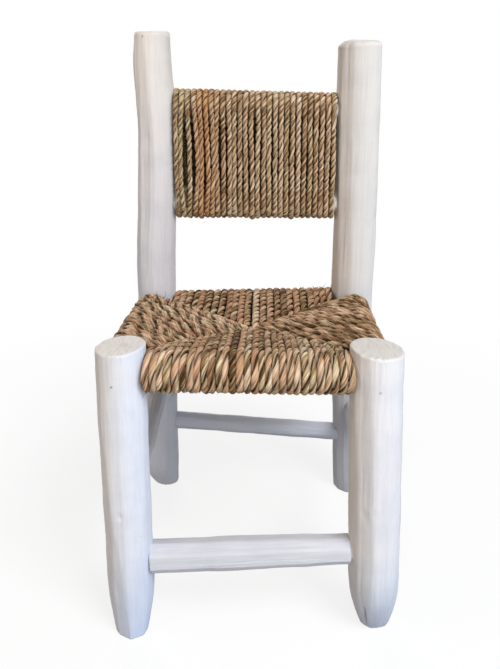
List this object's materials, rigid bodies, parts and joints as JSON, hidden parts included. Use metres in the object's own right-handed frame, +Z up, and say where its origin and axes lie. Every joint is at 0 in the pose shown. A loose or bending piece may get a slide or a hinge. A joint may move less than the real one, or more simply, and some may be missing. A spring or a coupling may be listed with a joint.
{
  "type": "childs chair",
  "caption": "Small rustic child's chair of painted round poles, with a twisted cord seat wound in triangles and an upright wound cord back.",
  "frame": {"origin": "on the floor under the middle of the whole chair", "axes": "+Z up, the sitter faces -Y, +X towards the sitter's left hand"},
  "size_m": [0.306, 0.309, 0.59],
  "materials": {
    "painted_wood": "matte white paint over hand-shaved wood",
    "bare_wood": "bare shaved wood under the cord",
    "plant_cord": "twisted dry plant fibre cord"
  },
  "bodies": {
    "root": {"front_left_leg": "painted_wood", "front_right_leg": "painted_wood", "rear_left_post": "painted_wood", "rear_right_post": "painted_wood", "front_seat_rail": "bare_wood", "rear_seat_rail": "bare_wood", "left_seat_rail": "bare_wood", "right_seat_rail": "bare_wood", "front_stretcher": "painted_wood", "rear_stretcher": "painted_wood", "left_stretcher": "painted_wood", "right_stretcher": "painted_wood", "upper_back_rail": "bare_wood", "lower_back_rail": "bare_wood", "back_cord": "plant_cord", "seat_front_cords": "plant_cord", "seat_rear_cords": "plant_cord", "seat_left_cords": "plant_cord", "seat_right_cords": "plant_cord", "seat_cross_cords": "plant_cord"}
  },
  "joints": []
}
